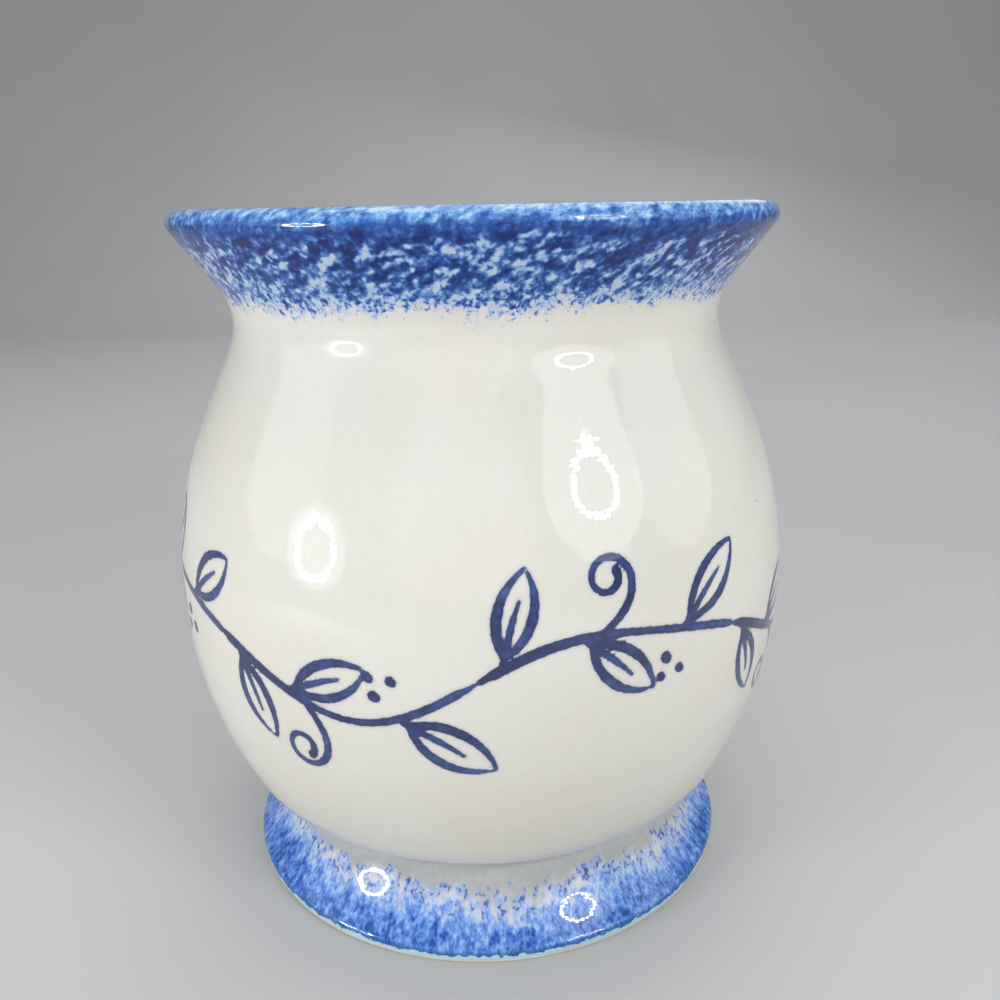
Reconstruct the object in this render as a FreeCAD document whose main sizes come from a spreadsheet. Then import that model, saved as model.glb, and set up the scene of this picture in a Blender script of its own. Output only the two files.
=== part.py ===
import FreeCAD, Part
import math
import os
from collections import namedtuple
from types import SimpleNamespace

import Sketcher

# Utensil crock: a thrown vessel luted onto a flared foot ring, glazed outside and inside.
# Sizes are in millimetres. The crock's axis is +Z and its origin is the middle of the face it
# rests on. Each piece is one section, drawn in the XZ plane and turned about the axis.

# Driving sizes of the finished, glazed crock
DRIVING_SIZES = [
    ("glaze", 0.5, "thickness of each glaze coat"),
    ("wall", 6.0, "thickness of the wall with its two coats"),
    ("foot_height", 19.5, "resting face to the joint of foot and body"),
    ("belly_rise", 56.5, "joint to the widest part of the belly"),
    ("neck_rise", 64.0, "widest part of the belly to the neck"),
    ("rim_rise", 25.0, "neck to the top of the rim"),
    ("belly_diameter", 152.4, "across the widest part of the belly"),
    ("belly_curve", 100.0, "radius of the belly's outline"),
    ("shoulder_rise", 42.0, "widest part of the belly to where the shoulder runs straight"),
    ("neck_curve", 13.5, "radius of the hollow at the neck"),
    ("rim_diameter", 141.0, "across the outside of the lip"),
    ("lip_round", 3.0, "radius of the rolled lip"),
    ("base_rise", 11.5, "joint to the middle of the round under the belly"),
    ("base_round", 5.0, "radius of the round under the belly"),
    ("floor_thickness", 7.5, "joint to the inside floor"),
    ("floor_round", 14.0, "radius between inside floor and wall"),
    ("waist_step", 24.0, "how far the clay waist lies inside the widest part"),
    ("waist_pool", 0.9, "depth of the glaze that gathers in the waist"),
    ("pool_drop", 1.0, "how far below the joint the gathered glaze has its middle"),
    ("pool_round", 2.0, "radius of the gathered glaze"),
    ("foot_flare", 11.3, "how far the foot stands outside the clay waist"),
    ("foot_curve", 32.0, "radius of the foot's hollow flare"),
    ("edge_round", 1.5, "radius over the top of the foot's edge"),
    ("edge_band", 1.2, "glazed upright band of the foot's edge"),
    ("bare_band", 0.6, "bare upright band of the foot's edge"),
    ("rest_round", 0.8, "radius beside the resting face"),
    ("rest_width", 9.0, "width of the foot ring at the bottom"),
    ("joint_width", 8.3, "width of the foot ring at the joint"),
]

SHEET_NAME = "Sizes"
TOUCH_TOLERANCE = 1e-6

# Numbers that a sketch gives to its origin, to its axes and to the points of an edge
ORIGIN = (-1, 1)
HORIZONTAL_AXIS, VERTICAL_AXIS = range(-1, -3, -1)
START, END, CENTRE = range(1, 4)

# Which side the centre of a round lies on as the outline follows it
LEFT, RIGHT = 1, -1


class Size:
    """A length together with the sheet expression that gives it."""

    def __init__(self, number, text):
        self.number = number
        self.text = text

    def __add__(self, other):
        return Size(self.number + other.number, f"({self.text} + {other.text})")

    def __sub__(self, other):
        return Size(self.number - other.number, f"({self.text} - {other.text})")

    def __mul__(self, other):
        return Size(self.number * other.number, f"({self.text} * {other.text})")

    def __truediv__(self, other):
        return Size(self.number / other.number, f"({self.text} / {other.text})")

    def half(self):
        return Size(self.number / 2, f"({self.text} / 2)")

    def negative(self):
        return Size(-self.number, f"(-{self.text})")


NOTHING = Size(0.0, "0")

# One round of a section: its centre, its radius and the side that its centre lies on. A coordinate
# that is a plain number is left to the rounds beside it, which settle it by touching.
# leave_z, where it is given, is the height of the arc's last point, counted counter-clockwise.
Round = namedtuple("Round", "r z radius turn leave_z", defaults=[None])
Edge = namedtuple("Edge", "index first last sharp")


def corner(r, z):
    """A sharp corner is a round that has no radius."""
    return Round(r, z, NOTHING, LEFT)


def reverse(rounds):
    """The same rounds, followed the other way."""
    return [item._replace(turn=-item.turn) for item in reversed(rounds)]


def number(length):
    return length.number if isinstance(length, Size) else length


def middle(item):
    return FreeCAD.Vector(number(item.r), number(item.z), 0)


# Sizes


def make_sheet(doc):
    """Writes each driving size into a cell of its own, and returns them all by name."""
    sheet = doc.addObject("Spreadsheet::Sheet", SHEET_NAME)
    for row, (alias, value, note) in enumerate(DRIVING_SIZES, start=1):
        sheet.set(f"A{row}", note)
        sheet.set(f"B{row}", str(value))
        sheet.setAlias(f"B{row}", alias)
    doc.recompute()
    aliases = [alias for alias, _, _ in DRIVING_SIZES]
    return SimpleNamespace(**{a: Size(float(sheet.get(a)), f"{SHEET_NAME}.{a}") for a in aliases})


def add_levels(s):
    """Adds the heights and radii that several pieces share."""
    s.bare_height = s.rest_round + s.bare_band
    s.edge_height = s.bare_height + s.edge_band
    s.floor_height = s.foot_height + s.floor_thickness
    s.base_height = s.foot_height + s.base_rise
    s.belly_height = s.foot_height + s.belly_rise
    s.neck_height = s.belly_height + s.neck_rise
    s.lip_height = s.neck_height + s.rim_rise - s.lip_round
    s.belly_centre = s.belly_diameter.half() - s.belly_curve
    s.lip_centre = s.rim_diameter.half() - s.lip_round
    s.waist_radius = s.belly_diameter.half() - s.waist_step
    s.foot_radius = s.waist_radius + s.foot_flare


# Outlines, as rounds that follow one another


def round_inside_belly(s, radius, height):
    """First guess of the centre of a round that touches the belly's circle from inside."""
    reach = s.belly_curve.number - radius
    drop = height - s.belly_height.number
    return s.belly_centre.number + math.sqrt(reach**2 - drop**2)


def neck_centre(s):
    """First guess of the neck's centre, whose round touches the straight shoulder."""
    lean = math.asin(s.shoulder_rise.number / s.belly_curve.number)
    shoulder = s.belly_centre.number + s.belly_curve.number * math.cos(lean)
    climb = s.neck_rise.number - s.shoulder_rise.number
    return shoulder + (s.neck_curve.number - climb * math.sin(lean)) / math.cos(lean)


def flare_centre(s, waist, depth):
    """First guess of the flare's centre: it touches the waist's round and the foot's edge."""
    from_waist = s.foot_curve.number + depth.number - waist.radius.number
    from_edge = s.foot_curve.number + s.edge_round.number
    edge = FreeCAD.Vector((s.foot_radius - s.edge_round).number, s.edge_height.number, 0)
    line = edge - middle(waist)
    along = (from_waist**2 - from_edge**2 + line.Length**2) / (2 * line.Length)
    aside = math.sqrt(from_waist**2 - along**2)
    unit = line.normalize()
    return middle(waist) + unit * along + FreeCAD.Vector(-unit.y, unit.x, 0) * aside


def foot_outline(s, waist, depth):
    """The foot's outside, from its edge up to the waist, at a depth below the finished surface."""
    flare = flare_centre(s, waist, depth)
    return [
        Round(s.foot_radius - s.edge_round, s.edge_height, s.edge_round - depth, LEFT),
        Round(flare.x, flare.y, s.foot_curve + depth, RIGHT),
        waist,
    ]


def shoulder_leave(s, radius):
    """Where a circle round the belly's centre gives way to the straight shoulder."""
    return s.belly_height + s.shoulder_rise * radius / s.belly_curve


def lip_outline(s, depth):
    return Round(s.lip_centre, s.lip_height, s.lip_round - depth, LEFT)


def body_outline(s, depth):
    """The vessel's outside, from under the belly up to the lip, at a depth below the surface."""
    base = round_inside_belly(s, s.base_round.number, s.base_height.number)
    belly = s.belly_curve - depth
    return [
        Round(base, s.base_height, s.base_round - depth, LEFT),
        Round(s.belly_centre, s.belly_height, belly, LEFT, shoulder_leave(s, belly)),
        Round(neck_centre(s), s.neck_height, s.neck_curve + depth, RIGHT),
        lip_outline(s, depth),
    ]


def inside_outline(s, depth):
    """The vessel's inside, from under the lip down to the floor, at a depth below the surface."""
    belly = s.belly_curve - s.wall + depth
    floor_middle = s.floor_height + s.floor_round
    floor = round_inside_belly(s, (s.wall + s.floor_round).number, floor_middle.number)
    rising = [
        Round(floor, floor_middle, s.floor_round + depth, LEFT),
        Round(s.belly_centre, s.belly_height, belly, LEFT, shoulder_leave(s, belly)),
        Round(neck_centre(s), s.neck_height, s.neck_curve + s.wall - depth, RIGHT),
    ]
    return reverse(rising) + [corner(NOTHING, s.floor_height - depth)]


def clay_waist(s):
    return corner(s.waist_radius, s.foot_height)


def glazed_waist(s):
    centre = s.waist_radius + s.waist_pool + s.pool_round
    return Round(centre, s.foot_height - s.pool_drop, s.pool_round, RIGHT)


def lip_seam(s, depth):
    """The crest of the lip, where the outer coat ends and the liner begins."""
    return corner(s.lip_centre, (s.lip_height + s.lip_round - depth).number)


# Drawing a section


def place_between(first, second):
    """Where the outline leaves one round and reaches the next, and whether the two rounds touch.

    Both points lie on the rounds' common tangent, on the side on which each round is followed.
    """
    step = middle(second) - middle(first)
    spread = second.turn * second.radius.number - first.turn * first.radius.number
    ratio = max(-1.0, min(1.0, spread / step.Length))
    square = math.atan2(step.y, step.x) + math.acos(ratio)
    normal = FreeCAD.Vector(math.cos(square), math.sin(square), 0)
    leave = middle(first) - normal * first.turn * first.radius.number
    reach = middle(second) - normal * second.turn * second.radius.number
    return leave, reach, abs(spread) > step.Length - TOUCH_TOLERANCE


def arc_between(item, reach, leave):
    """The arc of a round from the point that the outline reaches to the point where it leaves."""
    circle = Part.Circle(middle(item), FreeCAD.Vector(0, 0, 1), item.radius.number)
    ends = (reach, leave) if item.turn == LEFT else (leave, reach)
    first, last = [math.atan2(end.y - circle.Center.y, end.x - circle.Center.x) for end in ends]
    return Part.ArcOfCircle(circle, first, last if last > first else last + 2 * math.pi)


def hold(sketch, kind, size, *where):
    """Adds a dimension and binds it to the sheet."""
    row = sketch.addConstraint(Sketcher.Constraint(kind, *where, size.number))
    sketch.setExpression(f"Constraints[{row}]", size.text)


def hold_point(sketch, edge, point, r, z):
    """Holds a point by those of its coordinates that are sizes."""
    for kind, axis, length in (("DistanceX", VERTICAL_AXIS, r), ("DistanceY", HORIZONTAL_AXIS, z)):
        if not isinstance(length, Size):
            continue
        if length.number == 0:
            sketch.addConstraint(Sketcher.Constraint("PointOnObject", edge, point, axis))
        elif length.number > 0:
            hold(sketch, kind, length, *ORIGIN, edge, point)
        else:
            hold(sketch, kind, length.negative(), edge, point, *ORIGIN)


def draw_edges(sketch, rounds):
    """Draws the arcs, and the lines between rounds that do not touch.

    Returns the edges in order and, for each round, the row of its arc or of the edge that starts
    at its corner.
    """
    following = rounds[1:] + rounds[:1]
    places = [place_between(first, second) for first, second in zip(rounds, following)]
    edges = []
    rows = []
    for index, item in enumerate(rounds):
        leave, goal, touching = places[index]
        _, reach, reached_by_touch = places[index - 1]
        is_corner = item.radius.number == 0
        rows.append(len(edges))
        if not is_corner:
            arc = sketch.addGeometry(arc_between(item, reach, leave))
            first, last = (START, END) if item.turn == LEFT else (END, START)
            after_corner = reached_by_touch and rounds[index - 1].radius.number == 0
            edges.append(Edge(arc, first, last, after_corner))
        if not touching:
            line = sketch.addGeometry(Part.LineSegment(leave, goal))
            edges.append(Edge(line, START, END, is_corner))
    return edges, rows


def size_rounds(sketch, rounds, edges, rows):
    """Holds each round's centre and radius, or each corner, at its sizes."""
    for item, row in zip(rounds, rows):
        edge = edges[row % len(edges)]
        if item.radius.number == 0:
            hold_point(sketch, edge.index, edge.first, item.r, item.z)
            continue
        hold(sketch, "Radius", item.radius, edge.index)
        hold_point(sketch, edge.index, CENTRE, item.r, item.z)
        if item.leave_z is not None:
            hold(sketch, "DistanceY", item.leave_z, *ORIGIN, edge.index, END)


def turned_piece(doc, label, rounds):
    """A body whose closed section is turned once round the crock's axis."""
    body = doc.addObject("PartDesign::Body", label)
    body.Label = label
    sketch = body.newObject("Sketcher::SketchObject", f"{label}_section")
    plane = next(item for item in body.Origin.OriginFeatures if item.Role == "XZ_Plane")
    sketch.AttachmentSupport = [(plane, "")]
    sketch.MapMode = "FlatFace"

    edges, rows = draw_edges(sketch, rounds)
    for before, edge in zip(edges[-1:] + edges[:-1], edges):
        kind = "Coincident" if edge.sharp else "Tangent"
        sketch.addConstraint(Sketcher.Constraint(kind, before.index, before.last, edge.index, edge.first))
    size_rounds(sketch, rounds, edges, rows)

    turned = body.newObject("PartDesign::Revolution", f"{label}_turned")
    turned.Profile = sketch
    turned.ReferenceAxis = (sketch, ["V_Axis"])
    turned.Angle = 360
    body.Tip = turned
    return body


# Pieces


def crock_body(doc, s):
    """The clay vessel: floor, belly, straight shoulder, neck, flare and rolled lip."""
    rounds = [corner(NOTHING, s.foot_height), clay_waist(s)]
    rounds += body_outline(s, s.glaze) + inside_outline(s, s.glaze)
    return turned_piece(doc, "crock_body", rounds)


def foot_ring(doc, s):
    """The flared clay ring under the vessel, open inside, with a flat face to rest on."""
    bore = corner(s.waist_radius - s.joint_width, s.foot_height)
    clay_edge = s.foot_radius - s.glaze
    outer_rest = Round(clay_edge - s.rest_round, s.rest_round, s.rest_round, RIGHT)
    inner_rest = Round(clay_edge - s.rest_width + s.rest_round, s.rest_round, s.rest_round, RIGHT)
    rounds = [bore] + reverse(foot_outline(s, clay_waist(s), s.glaze)) + [outer_rest, inner_rest]
    return turned_piece(doc, "foot_ring", rounds)


def outer_glaze(doc, s):
    """The outer coat, from the bare edge of the foot up to the crest of the lip."""
    finished = [corner(s.foot_radius, s.bare_height)] + foot_outline(s, glazed_waist(s), NOTHING)
    finished += body_outline(s, NOTHING) + [lip_seam(s, NOTHING)]
    clay = [corner(s.foot_radius - s.glaze, s.bare_height)] + foot_outline(s, clay_waist(s), s.glaze)
    clay += body_outline(s, s.glaze) + [lip_seam(s, s.glaze)]
    return turned_piece(doc, "outer_glaze", finished + reverse(clay))


def liner_glaze(doc, s):
    """The inner coat, from the crest of the lip down over wall and floor."""
    clay = [lip_seam(s, s.glaze), lip_outline(s, s.glaze)] + inside_outline(s, s.glaze)
    finished = [lip_seam(s, NOTHING), lip_outline(s, NOTHING)] + inside_outline(s, NOTHING)
    return turned_piece(doc, "liner_glaze", clay + reverse(finished))


def check_pieces(doc, bodies):
    """Stops if anything failed, or if a piece is not one sound solid from a settled section."""
    for item in doc.Objects:
        if "Invalid" in item.State or "Error" in item.State:
            raise RuntimeError(f"{item.Name} failed: {item.State}")
        if item.TypeId == "Sketcher::SketchObject" and not item.FullyConstrained:
            raise RuntimeError(f"{item.Name} is not fully held")
    for body in bodies:
        shape = body.Shape
        if shape.isNull() or not shape.isValid() or len(shape.Solids) != 1:
            raise RuntimeError(f"{body.Label} is not one sound solid")


def write_pieces(bodies):
    os.makedirs("parts", exist_ok=True)
    for body in bodies:
        body.Shape.exportStep(f"parts/{body.Label}.step")


def main():
    doc = FreeCAD.newDocument("utensil_crock")
    sizes = make_sheet(doc)
    add_levels(sizes)
    bodies = [make(doc, sizes) for make in (crock_body, foot_ring, outer_glaze, liner_glaze)]
    doc.recompute()
    check_pieces(doc, bodies)
    write_pieces(bodies)


main()
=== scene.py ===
import math

import bpy
import numpy as np
from mathutils import Matrix, Vector


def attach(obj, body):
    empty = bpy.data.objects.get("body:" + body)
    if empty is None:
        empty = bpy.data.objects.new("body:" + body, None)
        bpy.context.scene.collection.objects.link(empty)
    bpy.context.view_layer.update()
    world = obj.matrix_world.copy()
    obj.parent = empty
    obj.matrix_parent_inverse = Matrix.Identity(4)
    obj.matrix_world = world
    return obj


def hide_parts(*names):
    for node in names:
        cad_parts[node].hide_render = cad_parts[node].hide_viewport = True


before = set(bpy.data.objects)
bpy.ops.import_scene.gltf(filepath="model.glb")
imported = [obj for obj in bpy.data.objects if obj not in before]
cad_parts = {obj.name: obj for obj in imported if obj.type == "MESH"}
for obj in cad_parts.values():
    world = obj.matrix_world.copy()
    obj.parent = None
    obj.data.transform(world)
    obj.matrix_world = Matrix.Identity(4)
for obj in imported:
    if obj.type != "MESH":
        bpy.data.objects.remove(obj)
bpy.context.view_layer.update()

# Sizes in millimetres, as in the part's source
GLAZE = 0.5
WALL = 6.0
FOOT_HEIGHT = 19.5
FLOOR_THICKNESS = 7.5
FLOOR_ROUND = 14.0
BELLY_RISE = 56.5
BELLY_RADIUS = 76.2
BELLY_CURVE = 100.0
SHOULDER_RISE = 42.0
NECK_RISE = 64.0
NECK_CURVE = 13.5
RIM_RISE = 25.0
RIM_RADIUS = 70.5
LIP_ROUND = 3.0
BASE_RISE = 11.5
BASE_ROUND = 5.0
WAIST_STEP = 24.0
WAIST_POOL = 0.9
POOL_DROP = 1.0
POOL_ROUND = 2.0
FOOT_FLARE = 11.3
FOOT_CURVE = 32.0
BARE_BAND = 0.6
EDGE_BAND = 1.2
EDGE_ROUND = 1.5
REST_ROUND = 0.8
REST_WIDTH = 9.0
JOINT_WIDTH = 8.3

# Heights from the table, radii from the axis, and centres (radius, height) that follow from these sizes
FLOOR_HEIGHT = FOOT_HEIGHT + FLOOR_THICKNESS
BASE_HEIGHT = FOOT_HEIGHT + BASE_RISE
BELLY_HEIGHT = FOOT_HEIGHT + BELLY_RISE
NECK_HEIGHT = BELLY_HEIGHT + NECK_RISE
CREST_HEIGHT = NECK_HEIGHT + RIM_RISE
BARE_HEIGHT = REST_ROUND + BARE_BAND
BELLY_CENTRE = BELLY_RADIUS - BELLY_CURVE
WAIST = (BELLY_RADIUS - WAIST_STEP, FOOT_HEIGHT)
FOOT_RADIUS = WAIST[0] + FOOT_FLARE
LIP_CENTRE = (RIM_RADIUS - LIP_ROUND, CREST_HEIGHT - LIP_ROUND)
EDGE_CENTRE = (FOOT_RADIUS - EDGE_ROUND, BARE_HEIGHT + EDGE_BAND)
POOL_CENTRE = (WAIST[0] + WAIST_POOL + POOL_ROUND, FOOT_HEIGHT - POOL_DROP)

# The glaze ends in a small bead, and the coats are kept just inside the solids' box
BEAD = 0.22
CLEAR = 0.04

# One millimetre in metres, the step of a traced outline, and the length over which row spacing is evened
MM = 0.001
TRACE_STEP = 0.04
SMOOTH_RUN = 10.0

# Spacing of a mesh's rows along an outline with the turn that adds a row, and the points round each row
COAT_ROWS = (4.5, 0.34)
LINER_ROWS = (4.0, 0.25)
CLAY_ROWS = (1.5, 0.2)
HIDDEN_ROWS = (10.0, 0.4)
BRUSH_ROW = 0.80
COLUMNS = 250
BRUSH_COLUMNS = 1000

# The circle on which the patterns are unrolled, and how far the sponge's strokes lean and are shortened
WRAP_RADIUS = 68.0
STROKE_LEAN = 0.68
STROKE_SHORT = 1.2

# Lengths along the outer coat from its bead to the waist, and of the stretches with the foot's and the
# rim's looks, how much sooner the rim's look ends on the inside, and the radius of the floor within which
# the unrolled pattern is drawn together
WAIST_RUN = 21.0
FOOT_ZONE = 34.0
RIM_ZONE = 34.0
LINER_FADE = 2.0
FLOOR_REACH = 45.0

# Ways in which an outline turns round a centre, and the draws that make each brush stroke differ
LEFT, RIGHT = 1, -1
rng = np.random.default_rng(11)


# Outlines


def corner(r, z):
    return (r, z, 0.0, LEFT)


def inside_belly(radius, height):
    """The centre of a round at a height, which touches the belly's circle from inside."""
    return (BELLY_CENTRE + math.sqrt((BELLY_CURVE - radius) ** 2 - (height - BELLY_HEIGHT) ** 2), height)


def neck_centre():
    """The centre of the neck's round, which touches the straight shoulder."""
    lean = math.asin(SHOULDER_RISE / BELLY_CURVE)
    climb = NECK_RISE - SHOULDER_RISE
    shoulder = BELLY_CENTRE + BELLY_CURVE * math.cos(lean)
    return (shoulder + (NECK_CURVE - climb * math.sin(lean)) / math.cos(lean), NECK_HEIGHT)


def flare_centre(waist, waist_round, depth):
    """The centre of the foot's hollow flare, which touches the foot's edge and the waist."""
    from_waist = FOOT_CURVE + depth - waist_round
    from_edge = FOOT_CURVE + EDGE_ROUND
    line = np.subtract(EDGE_CENTRE, waist)
    span = np.hypot(*line)
    along = (from_waist**2 - from_edge**2 + span**2) / (2 * span)
    aside = math.sqrt(from_waist**2 - along**2)
    unit = line / span
    return waist + unit * along + np.array([-unit[1], unit[0]]) * aside


def foot_rounds(depth):
    """The foot's outside from its edge to the waist, at a depth below the finished surface."""
    waist = (*POOL_CENTRE, POOL_ROUND, RIGHT) if depth == 0 else corner(*WAIST)
    flare = flare_centre(waist[:2], waist[2], depth)
    return [(*EDGE_CENTRE, EDGE_ROUND - depth, LEFT), (*flare, FOOT_CURVE + depth, RIGHT), waist]


def body_rounds(depth):
    """The vessel's outside from under the belly to the lip, at a depth below the surface."""
    return [
        (*inside_belly(BASE_ROUND, BASE_HEIGHT), BASE_ROUND - depth, LEFT),
        (BELLY_CENTRE, BELLY_HEIGHT, BELLY_CURVE - depth, LEFT),
        (*neck_centre(), NECK_CURVE + depth, RIGHT),
        (*LIP_CENTRE, LIP_ROUND - depth, LEFT),
        corner(LIP_CENTRE[0], CREST_HEIGHT - depth),
    ]


def inside_rounds(depth):
    """The vessel's inside from the crest of the lip to the middle of the floor."""
    return [
        corner(LIP_CENTRE[0], CREST_HEIGHT - depth),
        (*LIP_CENTRE, LIP_ROUND - depth, LEFT),
        (*neck_centre(), NECK_CURVE + WALL - depth, LEFT),
        (BELLY_CENTRE, BELLY_HEIGHT, BELLY_CURVE - WALL + depth, RIGHT),
        (*inside_belly(WALL + FLOOR_ROUND, FLOOR_HEIGHT + FLOOR_ROUND), FLOOR_ROUND + depth, RIGHT),
        corner(0.0, FLOOR_HEIGHT - depth),
    ]


def tangent(first, second):
    """Where an outline leaves one round and reaches the next along their common tangent."""
    step = np.subtract(second[:2], first[:2])
    spread = second[3] * second[2] - first[3] * first[2]
    ratio = np.clip(spread / np.hypot(*step), -1.0, 1.0)
    square = math.atan2(step[1], step[0]) + math.acos(ratio)
    normal = np.array([math.cos(square), math.sin(square)])
    leave = np.array(first[:2]) - normal * first[3] * first[2]
    reach = np.array(second[:2]) - normal * second[3] * second[2]
    return leave, reach


def trace(rounds, closed=False):
    """Closely spaced points (r, z) along arcs and the straight runs between them."""
    following = rounds[1:] + rounds[:1]
    links = [tangent(a, b) for a, b in zip(rounds, following)]
    runs = []
    last = len(rounds) - 1
    for index, (r, z, radius, turn) in enumerate(rounds):
        leave, goal = links[index]
        reach = links[index - 1][1]
        if radius > 0:
            start = math.atan2(reach[1] - z, reach[0] - r)
            sweep = (math.atan2(leave[1] - z, leave[0] - r) - start) * turn % (2 * math.pi)
            count = max(8, int(sweep * radius / TRACE_STEP))
            angle = start + turn * sweep * np.linspace(0, 1, count)
            runs.append(np.column_stack([r + radius * np.cos(angle), z + radius * np.sin(angle)]))
        else:
            runs.append(np.array([[r, z]]))
        if index < last or closed:
            count = max(2, int(np.hypot(*(goal - leave)) / TRACE_STEP))
            runs.append(leave + (goal - leave) * np.linspace(0, 1, count)[1:-1, None])
    points = np.concatenate(runs)
    moved = np.hypot(*np.diff(points, axis=0).T) > 1e-5
    return points[np.concatenate([[True], moved])]


def lengths(points):
    return np.concatenate([[0.0], np.cumsum(np.hypot(*np.diff(points, axis=0).T))])


def pick_rows(points, spacing, turn_step, fine=None):
    """Rows of a mesh along a traced outline.

    One row falls at each whole number of a running sum of length over spacing and of turning over
    turn_step. Inside the fine stretch (from, to, spacing) the rows lie at that closer spacing. The sum's
    slope is smoothed, so that neighbouring rows are about equally far apart.
    """
    run = lengths(points)
    middle = (run[1:] + run[:-1]) / 2
    step = np.diff(run)
    heading = np.unwrap(np.arctan2(*np.diff(points, axis=0).T[::-1]))
    turning = np.concatenate([[0.0], np.abs(np.diff(heading))])
    dense = 1 / spacing + turning / turn_step / step
    if fine is not None:
        dense = np.where((middle > fine[0]) & (middle < fine[1]), 1 / fine[2], dense)
    reach = int(SMOOTH_RUN / TRACE_STEP)
    easy = np.convolve(np.pad(dense, reach // 2, mode="edge"), np.full(reach, 1 / reach), mode="same")
    dense = np.maximum(dense, easy[reach // 2 : reach // 2 + len(dense)])
    total = np.concatenate([[0.0], np.cumsum(dense * step)])
    wanted = np.linspace(0, total[-1], int(total[-1]) + 1)
    row = np.interp(wanted, total, run)
    return np.column_stack([np.interp(row, run, points[:, 0]), np.interp(row, run, points[:, 1])]), row


# Meshes


def round_angles(columns):
    """The angle of every point, row by row, where each row has its own number of columns."""
    return np.concatenate([2 * math.pi * np.arange(count) / count for count in columns])


def strip_faces(first, first_count, second, second_count):
    """Faces between two rows of a turned surface, which start at these vertices.

    Where one row has several times as many points as the other, each face takes all of the finer row's
    points that lie over one step of the coarser.
    """
    cells = np.arange(min(first_count, second_count))[:, None]
    lower = first_count // len(cells)
    upper = second_count // len(cells)
    below = first + (cells * lower + np.arange(lower + 1)) % first_count
    above = second + (cells * upper + np.arange(upper, -1, -1)) % second_count
    return np.concatenate([below, above], axis=1).tolist()


def turned(name, section, columns, materials, zones=None, closed=True, sink=0.0):
    """A surface of turning: each section point (r, z) goes round to (r cos a, r sin a, z).

    A closed section makes a ring-like shell. An open one starts and ends on the axis, where the
    whole row is one point. The sink draws each point in towards the axis. The zones give the number of
    the material of each strip between a row and the next.
    """
    columns = np.asarray(columns)
    angle = round_angles(columns)
    radius = np.repeat(section[:, 0], columns) - sink
    height = np.repeat(section[:, 1], columns)
    points = np.column_stack([radius * np.cos(angle), radius * np.sin(angle), height])
    starts = np.concatenate([[0], np.cumsum(columns)[:-1]])
    faces, looks = [], []
    for row in range(len(section) if closed else len(section) - 1):
        after = (row + 1) % len(section)
        if columns[row] == 1:
            ring = starts[after] + np.arange(columns[after])
            strip = np.column_stack([np.full(len(ring), starts[row]), np.roll(ring, -1), ring]).tolist()
        elif columns[after] == 1:
            ring = starts[row] + np.arange(columns[row])
            strip = np.column_stack([ring, np.roll(ring, -1), np.full(len(ring), starts[after])]).tolist()
        else:
            strip = strip_faces(starts[row], columns[row], starts[after], columns[after])
        faces += strip
        looks += [0 if zones is None else int(zones[row])] * len(strip)

    mesh = bpy.data.meshes.new(name)
    mesh.from_pydata((points * MM).tolist(), [], faces)
    for material in materials:
        mesh.materials.append(material)
    mesh.polygons.foreach_set("material_index", looks)
    mesh.shade_smooth()
    piece = bpy.data.objects.new(name, mesh)
    bpy.context.scene.collection.objects.link(piece)
    return piece


def write_values(piece, name, values):
    """Stores one number, or one vector of three, on each vertex."""
    kind, key = ("FLOAT_VECTOR", "vector") if values.ndim == 2 else ("FLOAT", "value")
    layer = piece.data.attributes.new(name, kind, "POINT")
    layer.data.foreach_set(key, np.ascontiguousarray(values, dtype=np.float32).ravel())


def unrolled(angle, along):
    """The unrolled place of each vertex: a circle of one fixed size, and the length along the outline."""
    return np.column_stack([WRAP_RADIUS * np.cos(angle), WRAP_RADIUS * np.sin(angle), along])


def slanted(angle, along):
    """The unrolled place slid aside on the way up, so that a round blot drawn there is a leaning stroke."""
    return unrolled(angle - STROKE_LEAN * along / WRAP_RADIUS, along * STROKE_SHORT)


# Brushwork: a trailing vine, as strokes that are centre lines with half widths and loads of colour

# Waves round the belly, the stem's height above the widest line, its swing and sway, and a line's half width
VINE_WAVES = 4
VINE_MIDDLE = 2.0
VINE_SWING = 8.5
VINE_SWAY = 1.6
VINE_LINE = 1.0
ROUND_BELLY = 2 * math.pi * BELLY_RADIUS
WAVE = ROUND_BELLY / VINE_WAVES

# How far from a stroke its distance is kept, and how far the brushwork goes below and above the widest line
BRUSH_REACH = 3.0
BRUSH_BELOW = 24.0
BRUSH_ABOVE = 28.0

# Places along one wave, as shares of it, with the side of the stem or the height above it in millimetres
LEAVES = ((0.02, 1), (0.15, -1), (0.36, 1), (0.52, -1), (0.64, 1), (0.86, -1))
LEAF_LENGTHS = (17.5, 20.0)
CURLS = ((0.19, 1), (0.68, -1))
CURL_LENGTHS = (36.0, 40.0)
LOW_BERRIES = ((0.315, -6.0), (0.345, -8.6), (0.305, -10.2))
HIGH_BERRIES = ((0.815, 6.0), (0.845, 8.6), (0.805, 10.2))
BERRY_SIZES = (1.1, 1.35)


def vine(place):
    """Height of the stem above the belly's widest line: a sine wave, and a small one twice as quick."""
    wave = 2 * math.pi * place / WAVE
    return VINE_MIDDLE + VINE_SWING * np.sin(wave) + VINE_SWAY * np.sin(2 * wave + 0.8)


def on_vine(place):
    """A point of the stem and the stem's heading there."""
    return np.array([place, vine(place)]), math.atan(vine(place + 0.5) - vine(place - 0.5))


def pull(start, turns, length, widths, loads):
    """A pull of the brush from a point, with the headings, half widths and loads met on the way.

    Each of the three is given at evenly spaced shares of the length and runs straight between them.
    """
    share = np.linspace(0, 1, len(turns))
    step = length / (len(turns) - 1)
    moves = np.column_stack([np.cos(turns), np.sin(turns)])[:-1] * step
    path = start + np.concatenate([[[0.0, 0.0]], np.cumsum(moves, axis=0)])

    def along(levels):
        return np.interp(share, np.linspace(0, 1, len(levels)), levels)

    return path, VINE_LINE * along(widths), along(loads)


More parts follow.
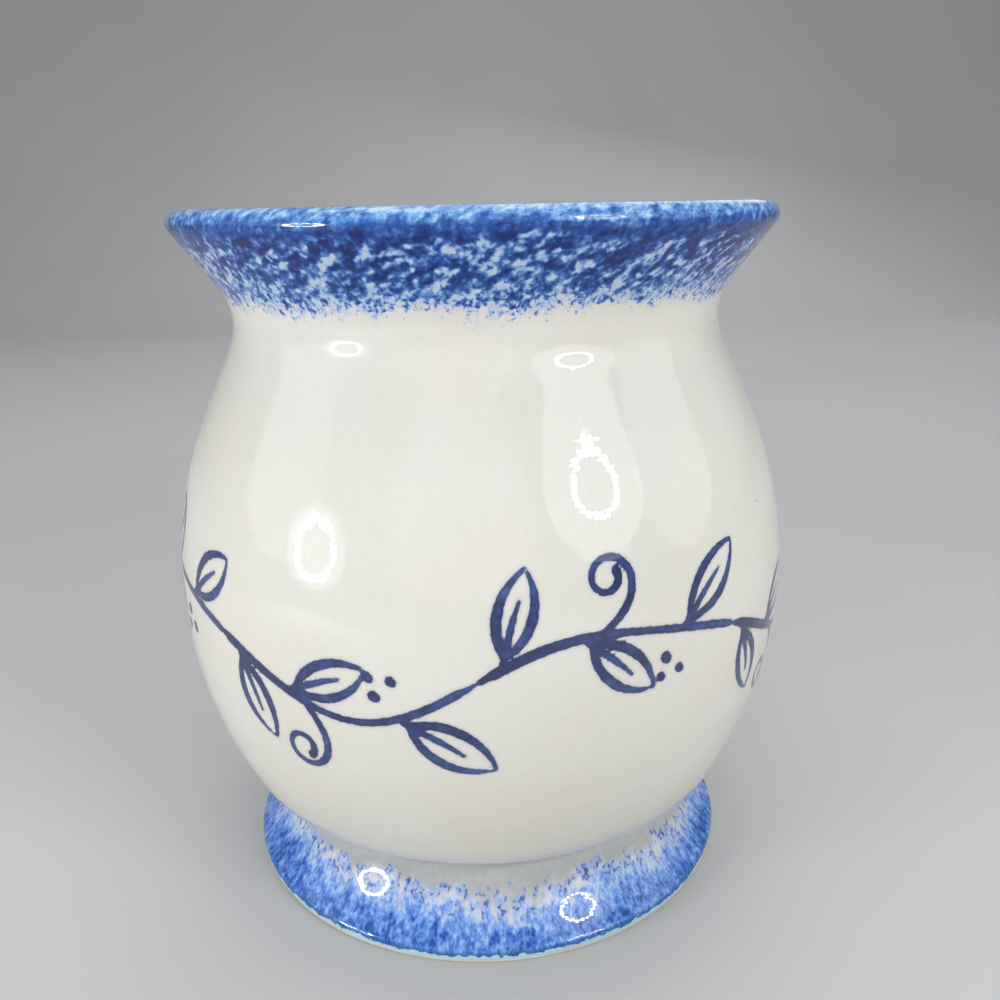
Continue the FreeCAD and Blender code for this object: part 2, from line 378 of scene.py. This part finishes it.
def stem_stroke(start, end):
    """One long pull along the stem, which thins as the brush is lifted."""
    place = np.linspace(start, end, 48)
    share = np.linspace(0, 1, 48)
    width = 1.12 - 0.30 * share + 0.10 * np.sin(9 * share)
    width *= np.clip(share / 0.03, 0.6, 1) * np.clip((1 - share) / 0.08, 0.4, 1)
    return np.column_stack([place, vine(place)]), VINE_LINE * width, 1.0 - 0.40 * share


def leaf_strokes(place, side, length):
    """A leaf in four pulls: a short stalk, two bent sides that meet at the tip, and a vein between them.

    Each side is an arc, so its length is the leaf's length times the half angle over its sine.
    """
    stem, heading = on_vine(place)
    heading += side * rng.uniform(0.75, 0.95)
    spread = rng.uniform(0.70, 0.80)
    arc = length * spread / math.sin(spread)
    ahead = np.array([math.cos(heading), math.sin(heading)])
    base = stem + 2.5 * ahead
    upper = heading + spread * np.linspace(1.0, -1.0, 24)
    lower = heading - spread * np.linspace(1.0, -1.15, 24)
    vein = heading + np.linspace(0.10, -0.14, 10)
    return [
        pull(stem, np.full(4, heading), 2.8, [0.7, 0.8], [0.9, 0.9]),
        pull(base, upper, arc, [0.70, 1.10, 1.15, 0.85, 0.50], [0.95, 0.8, 0.6]),
        pull(base, lower, arc * 1.03, [0.70, 1.00, 1.10, 0.80, 0.35], [0.85, 0.7, 0.45]),
        pull(base + 0.10 * length * ahead, vein, 0.55 * length, [0.85, 0.75, 0.45], [0.8, 0.45]),
    ]


def curl_stroke(place, side, length):
    """A curl that leaves the stem and winds ever tighter, as its heading turns with the share squared."""
    stem, heading = on_vine(place)
    share = np.linspace(0, 1, 60)
    turns = heading + side * (0.55 + 0.6 * share + 7.4 * share**2)
    return pull(stem, turns, length, [0.75, 0.95, 0.90, 0.75, 0.70, 1.05], [0.9, 0.7, 0.55, 0.9])


def berry_stroke(place, height, size):
    """A dab of the brush."""
    points = np.array([[place, height], [place + 0.4 * size, height - 0.3 * size]])
    return points, np.array([size, 0.85 * size]), np.array([0.95, 0.75])


def vine_strokes():
    """All strokes round the belly, each a little different from its neighbours."""
    strokes = []
    for wave in range(VINE_WAVES):
        start = wave * WAVE
        for half in (0.0, 0.5):
            first = start + half * WAVE + rng.uniform(-1.0, 1.0)
            strokes.append(stem_stroke(first - 1.5, first + 0.5 * WAVE + 1.0))
        for share, side in LEAVES:
            place = start + (share + rng.uniform(-0.01, 0.01)) * WAVE
            strokes += leaf_strokes(place, side, rng.uniform(*LEAF_LENGTHS))
        for share, side in CURLS:
            strokes.append(curl_stroke(start + share * WAVE, side, rng.uniform(*CURL_LENGTHS)))
        for share, lift in LOW_BERRIES + HIGH_BERRIES:
            place = start + share * WAVE
            strokes.append(berry_stroke(place, vine(place) + lift, rng.uniform(*BERRY_SIZES)))
    return strokes


def paint(strokes, place, height):
    """Distance of each vertex outside the nearest stroke's edge, and that stroke's load of colour.

    A stroke is a row of straight links. The distance to a link is that to its nearest point, less
    the link's width there, and the least over all links of all strokes is kept.
    """
    edge = np.full(place.shape, BRUSH_REACH)
    load = np.zeros(place.shape)
    for points, width, strength in strokes:
        middle = points[:, 0].mean()
        near = (place - middle + ROUND_BELLY / 2) % ROUND_BELLY - ROUND_BELLY / 2 + middle
        low = points.min(axis=0) - BRUSH_REACH - width.max()
        high = points.max(axis=0) + BRUSH_REACH + width.max()
        inside = np.nonzero((near > low[0]) & (near < high[0]) & (height > low[1]) & (height < high[1]))[0]
        where = np.column_stack([near[inside], height[inside]])[:, None, :]
        link = np.diff(points, axis=0)
        offset = where - points[:-1]
        share = np.clip((offset * link).sum(-1) / (link**2).sum(-1), 0, 1)
        reach = np.linalg.norm(offset - share[..., None] * link, axis=-1)
        reach -= width[:-1] + share * np.diff(width)
        best = reach.argmin(axis=1)
        row = np.arange(len(inside))
        found = reach[row, best]
        colour = strength[:-1][best] + share[row, best] * np.diff(strength)[best]
        closer = found < edge[inside]
        edge[inside] = np.where(closer, found, edge[inside])
        load[inside] = np.where(closer, colour, load[inside])
    return edge, load


# Material building


def srgb(red, green, blue):
    """A colour written in 0 to 255, as the shader takes it."""
    shade = np.array([red, green, blue]) / 255.0
    linear = np.where(shade <= 0.04045, shade / 12.92, ((shade + 0.055) / 1.055) ** 2.4)
    return (*linear, 1.0)


class Graph:
    """Short calls for the nodes of one material. Inputs are sockets, numbers or colours."""

    def __init__(self, name):
        self.material = bpy.data.materials.new(name)
        self.material.use_nodes = True
        self.tree = self.material.node_tree
        self.shader = self.tree.nodes["Principled BSDF"]

    def put(self, socket, value):
        if isinstance(value, bpy.types.NodeSocket):
            self.tree.links.new(value, socket)
        else:
            socket.default_value = value

    def node(self, kind, inputs=(), **settings):
        made = self.tree.nodes.new(kind)
        for key, value in settings.items():
            setattr(made, key, value)
        for key, value in dict(inputs).items():
            self.put(made.inputs[key], value)
        return made

    def math(self, operation, first, second=0.0, third=0.0):
        return self.node("ShaderNodeMath", {0: first, 1: second, 2: third}, operation=operation).outputs[0]

    def add(self, first, second):
        return self.math("ADD", first, second)

    def times(self, first, second):
        return self.math("MULTIPLY", first, second)

    def value(self, name):
        return self.node("ShaderNodeAttribute", attribute_name=name).outputs["Fac"]

    def vector(self, name):
        return self.node("ShaderNodeAttribute", attribute_name=name).outputs["Vector"]

    def stretch(self, vector, scale):
        made = self.node("ShaderNodeVectorMath", {0: vector, 1: scale}, operation="MULTIPLY")
        return made.outputs["Vector"]

    def noise(self, vector, size, detail=2.0, rough=0.5, colour=False):
        inputs = {"Vector": vector, "Scale": 1.0 / size, "Detail": detail, "Roughness": rough}
        made = self.node("ShaderNodeTexNoise", inputs)
        return made.outputs["Color" if colour else "Fac"]

    def warp(self, vector, size, amount):
        """Moves a vector about by noise, so that what is drawn on it flows."""
        inputs = {0: self.noise(vector, size, colour=True), 1: (0.5, 0.5, 0.5)}
        push = self.node("ShaderNodeVectorMath", inputs, operation="SUBTRACT").outputs["Vector"]
        inputs = {0: push, 1: (amount, amount, amount), 2: vector}
        made = self.node("ShaderNodeVectorMath", inputs, operation="MULTIPLY_ADD")
        return made.outputs["Vector"]

    def rise(self, value, low, high, bottom=0.0, top=1.0):
        """Goes smoothly from bottom to top as the value goes from low to high."""
        made = self.node(
            "ShaderNodeMapRange",
            {"Value": value, "From Min": low, "From Max": high, "To Min": bottom, "To Max": top},
            interpolation_type="SMOOTHSTEP",
        )
        return made.outputs["Result"]

    def curve(self, value, stops):
        """A number that follows straight runs between the stops (place, number)."""
        places, levels = zip(*stops)
        first, span = places[0], places[-1] - places[0]
        low, reach = min(levels), max(levels) - min(levels)
        greys = [((place - first) / span, (*[(level - low) / reach] * 3, 1.0)) for place, level in stops]
        share = self.math("MULTIPLY_ADD", value, 1.0 / span, -first / span)
        return self.math("MULTIPLY_ADD", self.ramp(share, greys), reach, low)

    def ramp(self, value, stops):
        made = self.node("ShaderNodeValToRGB", {"Fac": value})
        band = made.color_ramp
        band.elements[0].position, band.elements[0].color = stops[0]
        band.elements[1].position, band.elements[1].color = stops[-1]
        for place, shade in stops[1:-1]:
            band.elements.new(place).color = shade
        return made.outputs["Color"]

    def blend(self, factor, first, second):
        made = self.node("ShaderNodeMix", data_type="RGBA")
        self.put(made.inputs[0], factor)
        self.put(made.inputs[6], first)
        self.put(made.inputs[7], second)
        return made.outputs[2]

    def specks(self, vector, spacing, size, share):
        """Sparse round dots: the nearest cell point is close, and its cell is one of a chosen share."""
        cells = self.node("ShaderNodeTexVoronoi", {"Vector": vector, "Scale": 1.0 / spacing})
        near = self.rise(cells.outputs["Distance"], 1.25 * size / spacing, 0.75 * size / spacing)
        chosen = self.node("ShaderNodeSeparateColor", {"Color": cells.outputs["Color"]}).outputs["Red"]
        return self.times(near, self.math("LESS_THAN", chosen, share))

    def relief(self, height):
        """A bumped normal, for heights in millimetres."""
        inputs = {"Height": height, "Distance": MM, "Strength": 1.0}
        return self.node("ShaderNodeBump", inputs).outputs["Normal"]

    def finish(self, colour, roughness, normal, **constants):
        self.put(self.shader.inputs["Base Color"], colour)
        self.put(self.shader.inputs["Roughness"], roughness)
        self.put(self.shader.inputs["Normal"], normal)
        for key, value in constants.items():
            self.shader.inputs[key].default_value = value
        return self.material


# Materials

CREAM = srgb(231, 230, 223)
CREAM_WARM = srgb(228, 224, 212)
CREAM_GREY = srgb(212, 213, 209)
# Greys of pooled glaze, darkened as painted shadow of the belly's overhang on the foot's top
POOL_AND_SHADOW_GREY = srgb(176, 178, 179)
POOL_AND_SHADOW_PALE = srgb(190, 193, 195)
IRON = srgb(118, 100, 84)
HOLE_PALE = srgb(196, 210, 232)
FRINGE_HAZE = srgb(184, 198, 224)
HAZE_BLUE = srgb(160, 190, 234)
MID_BLUE = srgb(92, 134, 204)
COBALT = srgb(28, 78, 162)
NAVY = srgb(0, 34, 112)
# Blues of the lip's lighter band: painted reflection of light from above, over the sponge's streaks
LIP_SHEEN_PALE = srgb(186, 224, 255)
LIP_SHEEN_SKY = srgb(108, 162, 230)
LIP_SHEEN_DEEP = srgb(48, 98, 180)
FOOT_WHITE = srgb(208, 211, 218)
FOOT_PALE = srgb(176, 200, 238)
FOOT_LIGHT = srgb(124, 166, 238)
FOOT_BLUE = srgb(80, 128, 212)
FOOT_DEEP = srgb(38, 84, 170)
FOOT_SPECK = srgb(62, 94, 164)
TEAL = srgb(24, 96, 146)
EDGE_PALE = srgb(184, 218, 234)
INK_DEEP = srgb(14, 36, 92)
INK_THIN = srgb(60, 98, 172)
CLAY_PALE = srgb(234, 231, 222)
CLAY_BUFF = srgb(222, 215, 202)
CLAY_GRAIN = srgb(204, 194, 176)
PAPER_PALE = srgb(208, 208, 210)
PAPER_DULL = srgb(203, 204, 206)
PAPER_GREY = srgb(166, 165, 162)


def cream_glaze(g, wrap):
    """The clear coat over pale clay: slow warm and cool patches, fine mottling, a few iron specks."""
    patch = g.rise(g.noise(wrap, 34.0, 2.0), 0.35, 0.70)
    colour = g.blend(g.times(patch, 0.55), CREAM, CREAM_WARM)
    fine = g.rise(g.noise(wrap, 1.6, 3.0, 0.6), 0.35, 0.75, 0.0, 0.16)
    colour = g.blend(fine, colour, CREAM_GREY)
    specks = g.specks(g.warp(wrap, 2.0, 0.5), 13.0, 0.26, 0.40)
    return g.blend(g.times(specks, 0.75), colour, IRON)


def centred(g, vector, size, detail):
    """Noise that is about 0 on average, and mostly between -2 and 2."""
    return g.math("MULTIPLY_ADD", g.noise(vector, size, detail, 0.6), 16.0, -8.0)


def curly(g, vector, size, bend):
    """High along the winding lines where a noise passes its middle, like the walls of a sponge's pores."""
    away = g.math("ABSOLUTE", centred(g, g.warp(vector, size, bend), size, 1.0))
    return g.math("SUBTRACT", 0.8, away)


def rim_look(g, wrap):
    """Cobalt dabbed on with a sponge under the lip: dense, then open in ragged holes, then a broken fringe.

    One run of tones goes from the bare holes to navy. Its middle depends on the length down from the lip,
    and the leaning strokes, blots and pores of the sponge spread it. The lip's rounded top holds a lighter
    streaked band of painted reflection of light from above.
    """
    cream = cream_glaze(g, wrap)
    drop = g.value("drop")
    slant = g.vector("slant")
    flow = g.warp(wrap, 3.0, 1.5)
    waver = g.add(g.times(centred(g, wrap, 24.0, 1.0), 0.55), g.times(centred(g, wrap, 5.0, 2.0), 0.40))
    level = g.add(drop, waver)
    strokes = g.add(g.times(centred(g, slant, 2.8, 1.0), 0.66), g.times(centred(g, slant, 7.0, 1.0), 0.32))
    blots = g.add(g.times(centred(g, flow, 1.4, 1.0), 0.40), g.times(curly(g, flow, 2.2, 1.2), 0.50))
    crumbs = g.add(g.times(centred(g, flow, 1.1, 1.0), 0.50), g.times(curly(g, flow, 1.8, 1.0), 0.75))
    fringe = g.rise(level, 16.0, 23.0)
    coarse = g.times(g.add(strokes, blots), g.rise(fringe, 0.0, 1.0, 1.0, 0.55))
    dab = g.add(coarse, g.times(crumbs, fringe))
    middle = g.curve(level, [
        (4.0, 0.74), (7.0, 0.85), (9.0, 0.71), (14.0, 0.62),
        (19.0, 0.54), (22.0, 0.45), (24.5, 0.18), (28.5, -1.20),
    ])
    spread = g.curve(level, [
        (5.0, 0.10), (7.5, 0.12), (9.5, 0.22), (15.0, 0.21), (21.0, 0.18), (24.5, 0.24),
    ])
    tone = g.math("MULTIPLY_ADD", dab, spread, middle)
    blue = g.ramp(g.math("SUBTRACT", tone, g.times(fringe, 0.10)), [
        (0.05, HOLE_PALE), (0.20, HAZE_BLUE), (0.40, MID_BLUE), (0.64, COBALT), (1.0, NAVY),
    ])
    haze = g.rise(g.add(level, g.times(centred(g, wrap, 1.6, 1.0), 0.6)), 26.2, 20.5, 0.0, 0.9)
    shown = g.rise(g.add(tone, g.rise(level, 24.0, 19.0, 0.0, 0.6)), 0.0, 0.30)
    painted = g.blend(shown, g.blend(haze, cream, FRINGE_HAZE), blue)
    # The lip's rounded top: a lighter streaked band of painted reflection, over sponged streaks
    lip_edge = g.add(drop, g.times(centred(g, wrap, 2.2, 3.0), 0.5))
    streak = g.math("SUBTRACT", g.noise(slant, 2.2, 4.0, 0.65), g.rise(lip_edge, 1.0, 5.5, 0.0, 0.22))
    lip = g.ramp(streak, [(0.25, LIP_SHEEN_DEEP), (0.42, LIP_SHEEN_SKY), (0.58, LIP_SHEEN_PALE)])
    painted = g.blend(g.rise(lip_edge, 6.4, 3.2, 0.0, 0.95), painted, lip)
    stray = g.times(g.specks(g.warp(wrap, 1.5, 1.0), 3.0, 0.24, 0.16), g.rise(level, 29.0, 24.0))
    return g.blend(g.times(stray, 0.7), painted, COBALT)


def foot_look(g, wrap):
    """A lighter sponged band on the foot, pale above, with dark curls along its ragged top, under a grey of
    pooled glaze and painted shadow of the belly that reaches up to the waist.
    """
    climb = g.value("climb")
    waver = g.add(g.times(centred(g, wrap, 20.0, 1.0), 0.55), g.times(centred(g, wrap, 4.5, 2.0), 0.55))
    level = g.add(climb, waver)
    upward = g.stretch(wrap, (1.0, 1.0, 0.72))
    blots = g.add(g.times(centred(g, upward, 1.6, 2.0), 0.66), g.times(centred(g, upward, 0.7, 2.0), 0.34))
    dab = g.add(blots, g.times(centred(g, wrap, 6.0, 1.0), 0.22))
    middle = g.curve(level, [
        (4.0, 0.78), (7.0, 0.68), (9.0, 0.54), (11.0, 0.34), (12.5, 0.10), (15.0, 0.0),
    ])
    tone = g.math("MULTIPLY_ADD", dab, 0.15, middle)
    blue = g.ramp(tone, [
        (0.0, FOOT_WHITE), (0.25, FOOT_PALE), (0.5, FOOT_LIGHT), (0.75, FOOT_BLUE), (1.0, FOOT_DEEP),
    ])
    # Under the waist: pooled glaze with painted shadow of the belly, mottled, turning to cream at the waist
    pool_and_shadow = g.blend(g.rise(centred(g, wrap, 2.5, 3.0), -1.0, 2.5, 0.0, 0.5), POOL_AND_SHADOW_GREY, POOL_AND_SHADOW_PALE)
    pool_and_shadow = g.blend(g.rise(climb, WAIST_RUN, WAIST_RUN + 3.0), pool_and_shadow, cream_glaze(g, wrap))
    painted = g.blend(g.rise(level, 12.6, 17.2), blue, pool_and_shadow)
    near_top = g.times(g.rise(level, 17.4, 15.2), g.rise(level, 8.5, 14.0))
    groups = g.rise(g.add(centred(g, wrap, 2.2, 0.0), g.times(near_top, 1.3)), -0.5, 2.1)
    groups = g.times(groups, g.rise(near_top, 0.0, 0.9))
    painted = g.blend(g.times(groups, 0.45), painted, FOOT_LIGHT)
    broken = g.rise(centred(g, wrap, 1.1, 0.0), -1.9, 0.6)
    curls = g.times(g.rise(curly(g, upward, 1.8, 1.2), -1.20, 0.80), broken)
    painted = g.blend(g.times(curls, groups), painted, FOOT_SPECK)
    edge = g.add(climb, g.times(centred(g, wrap, 2.0, 2.0), 0.15))
    painted = g.blend(g.rise(edge, 2.9, 1.9, 0.0, 0.7), painted, TEAL)
    return g.blend(g.rise(edge, 1.7, 1.3), painted, EDGE_PALE)


def brushed(g, wrap, colour):
    """The vine's ink: full and dark where the brush starts, thin and blue where it runs dry."""
    edge = g.add(g.value("brush_edge"), g.times(g.math("SUBTRACT", g.noise(wrap, 1.1, 3.0), 0.5), 0.55))
    load = g.add(g.value("brush_load"), g.times(g.math("SUBTRACT", g.noise(wrap, 2.4, 3.0), 0.5), 1.3))
    ink = g.blend(g.rise(load, 0.10, 1.0), INK_THIN, INK_DEEP)
    rim = g.rise(edge, -0.75, -0.15)
    ink = g.blend(g.times(rim, 0.45), ink, INK_DEEP)
    bleed = g.rise(edge, 0.9, 0.0, 0.0, 0.16)
    colour = g.blend(bleed, colour, INK_THIN)
    return g.blend(g.rise(edge, 0.16, -0.16, 0.0, 0.96), colour, ink)


def coat_relief(g, wrap):
    """Faint turning rings and a fine orange peel."""
    rings = g.times(g.noise(g.stretch(wrap, (0.05, 0.05, 1.0)), 3.2, 2.0), 0.05)
    peel = g.times(g.noise(wrap, 1.1, 1.0), 0.006)
    return g.relief(g.add(rings, peel))


def belly_look(g, wrap):
    """Cream glaze with the brushed vine."""
    return brushed(g, wrap, cream_glaze(g, wrap))


def glazed(name, look):
    """A glossy fired coat with one of the looks above."""
    g = Graph(name)
    wrap = g.vector("wrap")
    rough = g.rise(g.noise(wrap, 3.0, 2.0), 0.3, 0.8, 0.025, 0.07)
    return g.finish(look(g, wrap), rough, coat_relief(g, wrap), IOR=1.5)


def clay_material():
    """Bare fired stoneware: pale and matt, with grog and iron specks and fine turning marks."""
    g = Graph("stoneware_look")
    place = g.node("ShaderNodeTexCoord").outputs["Object"]
    place = g.stretch(place, (1 / MM, 1 / MM, 1 / MM))
    patch = g.rise(g.noise(place, 12.0, 4.0, 0.6), 0.3, 0.7)
    colour = g.blend(patch, CLAY_PALE, CLAY_BUFF)
    grain = g.rise(g.noise(place, 0.5, 3.0, 0.6), 0.35, 0.7)
    colour = g.blend(g.times(grain, 0.35), colour, CLAY_GRAIN)
    colour = g.blend(g.times(g.specks(place, 5.0, 0.30, 0.4), 0.8), colour, IRON)
    height = g.add(g.times(g.noise(place, 0.45, 3.0, 0.6), 0.05), g.times(g.noise(place, 4.0, 2.0), 0.12))
    rough = g.rise(g.noise(place, 2.0, 2.0), 0.3, 0.7, 0.72, 0.90)
    return g.finish(colour, rough, g.relief(height), IOR=1.45)


def floor_material():
    """A plain floor and backdrop: pale in view and in reflections, but it lights the crock as a mid grey."""
    g = Graph("studio_paper")
    place = g.node("ShaderNodeTexCoord").outputs["Object"]
    tone = g.rise(g.noise(place, 0.30, 2.0), 0.3, 0.7)
    colour = g.blend(tone, PAPER_PALE, PAPER_DULL)
    path = g.node("ShaderNodeLightPath").outputs
    seen = g.math("MAXIMUM", path["Is Camera Ray"], path["Is Glossy Ray"])
    seen = g.math("MAXIMUM", seen, path["Is Transmission Ray"])
    colour = g.blend(seen, PAPER_GREY, colour)
    grain = g.relief(g.times(g.noise(place, 0.002, 2.0), 0.02))
    return g.finish(colour, 0.9, grain, IOR=1.2)


# Pieces

# Depths of the belly's slow waves and finger rings, and the length over which they fade out, in millimetres
WAVE_DEPTH = 0.05
RING_DEPTH = 0.03
UNEVEN_FADE = 36.0

# The studio's paper in metres: its flat rows, where it starts to bend up, the bend, its top and half width
PAPER_ROWS = (-2.5, -0.5, 0.0, 0.5)
PAPER_BACK = 1.1
PAPER_BEND = 0.6
PAPER_TOP = 2.2
PAPER_HALF = 3.0


def unevenness(angle, along, widest):
    """How far the thrown belly falls short of a true circle, 0 to about 0.3 mm.

    Two slow waves wind round it, one of 3 and one of 5 to a turn, and shallow finger rings climb it. They
    fade out before the waist and the rim.
    """
    slow = WAVE_DEPTH * (1 + np.sin(3 * angle + along / 19))
    quick = WAVE_DEPTH * (1 + np.sin(5 * angle - along / 27 + 1.3))
    rings = RING_DEPTH * (1 + np.sin(along / 1.9 + 1.5 * np.sin(angle)) * np.sin(along / 13))
    fade = np.clip(1.6 - np.abs(along - widest) / UNEVEN_FADE, 0, 1)
    return (CLEAR + slow + quick + rings) * fade


def outer_coat():
    """The outer coat, a shell from the rounded bead above the bare edge up to the crest of the lip."""
    bead = (FOOT_RADIUS - BEAD, BARE_HEIGHT + BEAD, BEAD, LEFT)
    seen = trace([bead] + foot_rounds(0.0) + body_rounds(0.0))
    inner_bead = (FOOT_RADIUS - GLAZE + BEAD, BARE_HEIGHT + BEAD, BEAD, RIGHT)
    hidden = trace([inner_bead] + foot_rounds(GLAZE) + body_rounds(GLAZE))
    run = lengths(seen)
    widest = run[seen[:, 0].argmax()]
    rows, front = pick_rows(seen, *COAT_ROWS, (widest - BRUSH_BELOW, widest + BRUSH_ABOVE, BRUSH_ROW))
    back_rows, back = pick_rows(hidden, *HIDDEN_ROWS)
    row_along = np.concatenate([front, back[::-1]])
    in_front = np.arange(len(row_along)) < len(front)
    brushed_row = in_front & (np.abs(row_along - widest - VINE_MIDDLE) < BRUSH_BELOW + VINE_MIDDLE)
    columns = np.where(brushed_row, BRUSH_COLUMNS, COLUMNS)
    angle = round_angles(columns)
    along = np.repeat(row_along, columns)
    sink = np.where(np.repeat(in_front, columns), unevenness(angle, along, widest), 0.0)
    zones = (row_along > FOOT_ZONE).astype(int) + (row_along > run[-1] - RIM_ZONE)
    looks = [
        glazed("foot_glaze_look", foot_look),
        glazed("belly_glaze_look", belly_look),
        glazed("rim_glaze_look", rim_look),
    ]
    section = np.concatenate([rows, back_rows[::-1]])
    piece = turned("outer_coat", section, columns, looks, zones=zones, sink=sink)

    write_values(piece, "wrap", unrolled(angle, along))
    write_values(piece, "slant", slanted(angle, along))
    write_values(piece, "climb", along)
    write_values(piece, "drop", run[-1] - along)
    edge, load = paint(vine_strokes(), angle * BELLY_RADIUS, along - widest)
    write_values(piece, "brush_edge", edge)
    write_values(piece, "brush_load", load)
    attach(piece, "root")
    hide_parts("outer_glaze")
    return run[-1]


def liner_coat(outer_length):
    """The inner coat, from the crest of the lip down over wall and floor."""
    rows, front = pick_rows(trace(inside_rounds(0.0)), *LINER_ROWS)
    back_rows, back = pick_rows(trace(inside_rounds(GLAZE)), *HIDDEN_ROWS)
    section = np.concatenate([back_rows[::-1], rows])
    row_along = np.concatenate([back[::-1], front])
    columns = np.full(len(section), COLUMNS)
    columns[[0, -1]] = 1
    piece = turned("liner_coat", section, columns, [glazed("liner_glaze_look", rim_look)], closed=False)
    angle = round_angles(columns)
    along = np.repeat(row_along, columns)
    wrap = unrolled(angle, along + outer_length)
    near = np.clip(np.repeat(section[:, 0], columns) / FLOOR_REACH, 0, 1)
    wrap[:, :2] *= near[:, None]
    write_values(piece, "wrap", wrap)
    write_values(piece, "slant", slanted(angle, along + outer_length))
    write_values(piece, "drop", along * LINER_FADE)
    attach(piece, "root")
    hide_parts("liner_glaze")


def foot_clay(material):
    """The bare clay of the foot ring, whose rest and inside are seen from below."""
    clay_edge = FOOT_RADIUS - GLAZE
    rounds = [
        corner(WAIST[0] - JOINT_WIDTH, WAIST[1]),
        (clay_edge - REST_WIDTH + REST_ROUND, REST_ROUND, REST_ROUND, LEFT),
        (clay_edge - REST_ROUND, REST_ROUND, REST_ROUND, LEFT),
    ] + foot_rounds(GLAZE)
    rows, _ = pick_rows(trace(rounds, closed=True), *CLAY_ROWS)
    piece = turned("foot_clay", rows[:-1], np.full(len(rows) - 1, COLUMNS), [material])
    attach(piece, "root")
    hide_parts("foot_ring")


def studio_floor():
    """A floor that runs back and rises in a quarter circle into the upright backdrop."""
    turn = np.linspace(0, math.pi / 2, 40)
    bend = PAPER_BACK + PAPER_BEND * np.sin(turn)
    depth = np.concatenate([PAPER_ROWS, bend, [PAPER_BACK + PAPER_BEND]])
    rise = np.concatenate([np.zeros(len(PAPER_ROWS)), PAPER_BEND * (1 - np.cos(turn)), [PAPER_TOP]])
    left = np.column_stack([np.full(len(depth), -PAPER_HALF), depth, rise])
    right = left * np.array([-1, 1, 1])
    count = len(depth)
    row = np.arange(count - 1)
    faces = np.column_stack([row, row + count, row + count + 1, row + 1])
    mesh = bpy.data.meshes.new("studio_floor")
    mesh.from_pydata(np.concatenate([left, right]).tolist(), [], faces.tolist())
    mesh.shade_smooth()
    mesh.materials.append(floor_material())
    floor = bpy.data.objects.new("studio_floor", mesh)
    bpy.context.scene.collection.objects.link(floor)


# Light and camera, in metres and watts

ROOM_LIGHT = 0.27
RING_LAMPS = 20
RING_SPOT = 0.016
LAMP_AIM = (0.0, 0.0, 0.09)
RIGHT_LAMP = (0.347, -0.394, 0.306)
RIGHT_TINT = (1.0, 1.0, 0.99)
LEFT_LAMP = (-0.465, -0.311, 0.145)
LEFT_TINT = (0.99, 1.0, 1.0)
WHITE = (1.0, 1.0, 1.0)
CAMERA_PLACE = (0.0, -0.23507, 0.165)
CAMERA_TURNS = (1.216, 17.532, -0.984)
CAMERA_LENS = 33.79


def soft_disc(name, place, aim, across, watts, tint):
    """A round lamp that faces its aim."""
    light = bpy.data.lights.new(name, "AREA")
    light.shape = "DISK"
    light.size = across
    light.energy = watts
    light.color = tint
    lamp = bpy.data.objects.new(name, light)
    lamp.location = place
    lamp.rotation_euler = (Vector(aim) - Vector(place)).to_track_quat("-Z", "Y").to_euler()
    bpy.context.scene.collection.objects.link(lamp)


def ring_lamp(name, place, aim, across, watts, tint):
    """A ring light: small round lamps evenly spaced on a circle that faces its aim."""
    facing = (Vector(aim) - Vector(place)).to_track_quat("-Z", "Y")
    for number in range(RING_LAMPS):
        angle = 2 * math.pi * number / RING_LAMPS
        spoke = facing @ Vector((math.cos(angle), math.sin(angle), 0.0))
        spot = Vector(place) + spoke * across / 2
        soft_disc(f"{name}_{number}", spot, aim, RING_SPOT, watts / RING_LAMPS, tint)


def studio_light():
    """A dim room, a ring lamp each side over a soft disc, a broad front light, fills and a top light."""
    world = bpy.data.worlds.new("soft_room")
    bpy.context.scene.world = world
    world.use_nodes = True
    room = world.node_tree.nodes["Background"]
    room.inputs["Color"].default_value = (1.0, 1.0, 1.0, 1.0)
    room.inputs["Strength"].default_value = ROOM_LIGHT
    ring_lamp("right_lamp", RIGHT_LAMP, LAMP_AIM, 0.15, 0.72, RIGHT_TINT)
    soft_disc("right_glow", RIGHT_LAMP, LAMP_AIM, 0.36, 0.62, RIGHT_TINT)
    ring_lamp("left_lamp", LEFT_LAMP, LAMP_AIM, 0.14, 1.10, LEFT_TINT)
    soft_disc("left_glow", LEFT_LAMP, LAMP_AIM, 0.22, 0.26, LEFT_TINT)
    soft_disc("front_light", (-0.15, -1.2, 0.45), LAMP_AIM, 1.2, 2.2, WHITE)
    for name, side in (("left_fill", -1), ("right_fill", 1)):
        soft_disc(name, (1.2 * side, -0.25, 0.45), LAMP_AIM, 0.8, 1.3, WHITE)
    soft_disc("back_fill", (0.3, 1.2, 0.9), LAMP_AIM, 1.2, 3.2, WHITE)
    soft_disc("top_light", (0.0, 0.3, 1.3), (0.0, 0.5, 0.0), 1.2, 5.4, WHITE)


def photo_camera():
    """The camera that was fitted to the photograph's outline: place, turn, nod, tilt and lens."""
    yaw, pitch, roll = np.radians(CAMERA_TURNS)
    ahead = Vector((math.sin(yaw) * math.cos(pitch), math.cos(yaw) * math.cos(pitch), -math.sin(pitch)))
    level = Vector((math.cos(yaw), -math.sin(yaw), 0.0))
    upward = level.cross(ahead)
    right = level * math.cos(roll) + upward * math.sin(roll)
    above = upward * math.cos(roll) - level * math.sin(roll)
    camera = bpy.data.cameras.new("photo_camera")
    camera.sensor_width = 36.0
    camera.lens = CAMERA_LENS
    camera.clip_start = 0.01
    view = bpy.data.objects.new("photo_camera", camera)
    facing = Matrix((right, above, -ahead)).transposed()
    view.matrix_world = Matrix.Translation(CAMERA_PLACE) @ facing.to_4x4()
    bpy.context.scene.collection.objects.link(view)
    bpy.context.scene.camera = view


stoneware = clay_material()
liner_coat(outer_coat())
foot_clay(stoneware)
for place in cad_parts["crock_body"].material_slots:
    place.material = stoneware
studio_floor()
studio_light()
photo_camera()
bpy.context.scene.view_settings.view_transform = "Standard"
